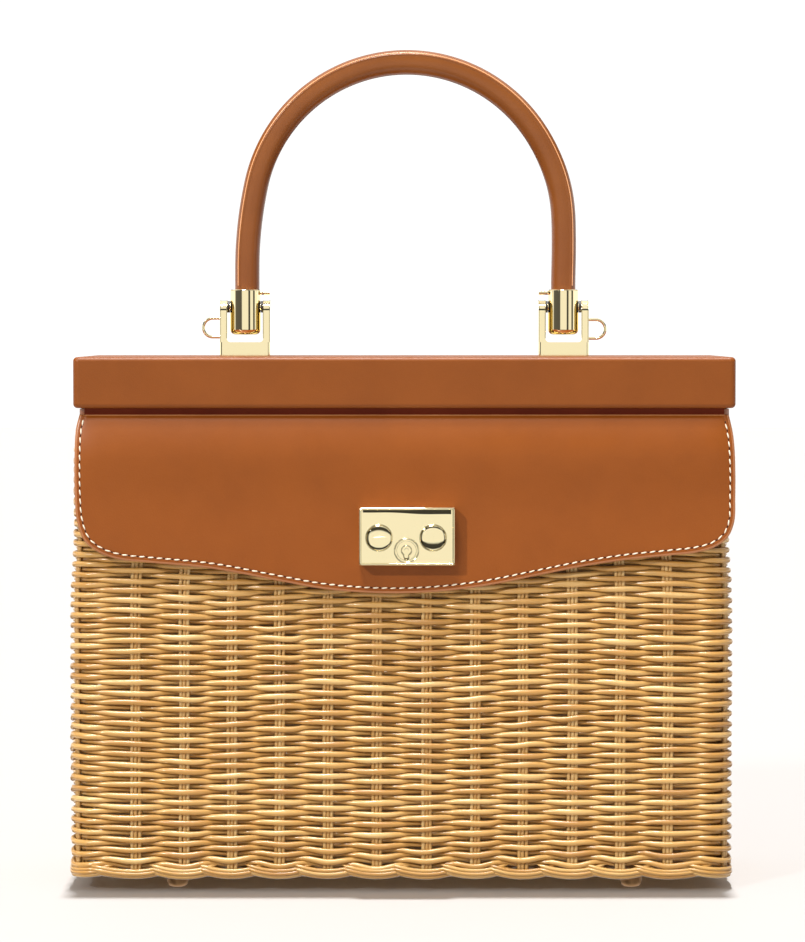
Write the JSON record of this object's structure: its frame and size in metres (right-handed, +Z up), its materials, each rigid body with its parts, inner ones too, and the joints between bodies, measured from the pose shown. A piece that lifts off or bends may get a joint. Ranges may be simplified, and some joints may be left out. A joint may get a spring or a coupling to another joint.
{
  "type": "basket box bag",
  "caption": "Woven wicker box handbag with a hinged leather-covered lid, a leather front flap with a push-button lock, and an arched leather handle.",
  "frame": {"origin": "centre of the bag's outline on the ground, under its feet", "axes": "+X to the bag's right as seen from the front, +Y to the back (the flap and lock face -Y), +Z up"},
  "size_m": [0.2822, 0.1215, 0.3609],
  "materials": {
    "wicker": "semi-gloss",
    "frame_wood": "matte",
    "handle_core_wood": "matte",
    "tan_leather": "satin",
    "flap_back_leather": "matte",
    "lining": "matte",
    "gold_metal": "polished",
    "dark_washer": "satin",
    "plain_steel": "satin"
  },
  "bodies": {
    "basket": {"wicker_wall": "wicker", "wicker_border": "wicker", "wicker_base": "wicker", "base_board": "frame_wood", "rim_frame": "frame_wood", "rim_cover": "tan_leather", "basket_lining": "lining", "feet": "gold_metal", "foot_nuts": "plain_steel", "catch_plate": "gold_metal", "catch_stud": "gold_metal", "catch_rivets": "gold_metal", "hinge_basket_leaves": "gold_metal", "hinge_pins": "gold_metal", "hinge_screws_basket": "gold_metal"},
    "lid": {"lid_board": "frame_wood", "lid_cover": "tan_leather", "lid_lining": "lining", "hinge_lid_leaves": "gold_metal", "hinge_screws_lid": "gold_metal", "bracket_left": "gold_metal", "bracket_right": "gold_metal", "pivot_pin_left": "gold_metal", "pivot_pin_right": "gold_metal", "pivot_washers": "dark_washer", "strap_loop_left": "gold_metal", "strap_loop_right": "gold_metal", "bracket_screws": "plain_steel"},
    "handle": {"handle_core": "handle_core_wood", "handle_leather": "tan_leather", "ferrule_left": "gold_metal", "ferrule_right": "gold_metal", "keeper_pins": "gold_metal"},
    "flap": {"flap_leather": "tan_leather", "flap_lining": "flap_back_leather", "lock_case": "gold_metal", "lock_inner_plate": "plain_steel", "lock_back_plate": "gold_metal", "lock_screws": "gold_metal", "key_pin": "gold_metal", "left_button_spring": "plain_steel", "right_button_spring": "plain_steel"},
    "left_button": {"left_button": "gold_metal"},
    "right_button": {"right_button": "gold_metal"},
    "left_latch_jaw": {"left_latch_jaw": "plain_steel"},
    "right_latch_jaw": {"right_latch_jaw": "plain_steel"},
    "key_cam": {"key_cam": "plain_steel"}
  },
  "joints": [
    {"name": "lid_hinge", "type": "hinge", "parent": "basket", "child": "lid", "pos_m": [0, 0.058, 0.2057], "axis": [-1, 0, 0], "range_deg": [0, 100]},
    {"name": "flap_fold", "type": "hinge", "parent": "lid", "child": "flap", "pos_m": [0, -0.0519, 0.2036], "axis": [-1, 0, 0], "range_deg": [0, 85]},
    {"name": "handle_swing", "type": "hinge", "parent": "lid", "child": "handle", "pos_m": [0, 0, 0.2491], "axis": [1, 0, 0], "range_deg": [-105, 105]},
    {"name": "left_button_press", "type": "slide", "parent": "flap", "child": "left_button", "axis": [0, 1, 0], "range_m": [0, 0.0015], "stiffness_N_per_m": 400, "springref_m": -0.002, "deforming": ["left_button_spring"]},
    {"name": "right_button_press", "type": "slide", "parent": "flap", "child": "right_button", "axis": [0, 1, 0], "range_m": [0, 0.0015], "stiffness_N_per_m": 400, "springref_m": -0.002, "deforming": ["right_button_spring"]},
    {"name": "left_jaw_slide", "type": "slide", "parent": "flap", "child": "left_latch_jaw", "axis": [-1, 0, 0], "range_m": [0, 0.0015]},
    {"name": "right_jaw_slide", "type": "slide", "parent": "flap", "child": "right_latch_jaw", "axis": [1, 0, 0], "range_m": [0, 0.0015]},
    {"name": "key_turn", "type": "hinge", "parent": "flap", "child": "key_cam", "pos_m": [0.0009, -0.0574, 0.14615], "axis": [0, 1, 0], "range_deg": [0, 90]}
  ],
  "couplings": [
    {"joint": "left_jaw_slide", "follows": "left_button_press", "ratio": 1},
    {"joint": "right_jaw_slide", "follows": "right_button_press", "ratio": 1}
  ]
}
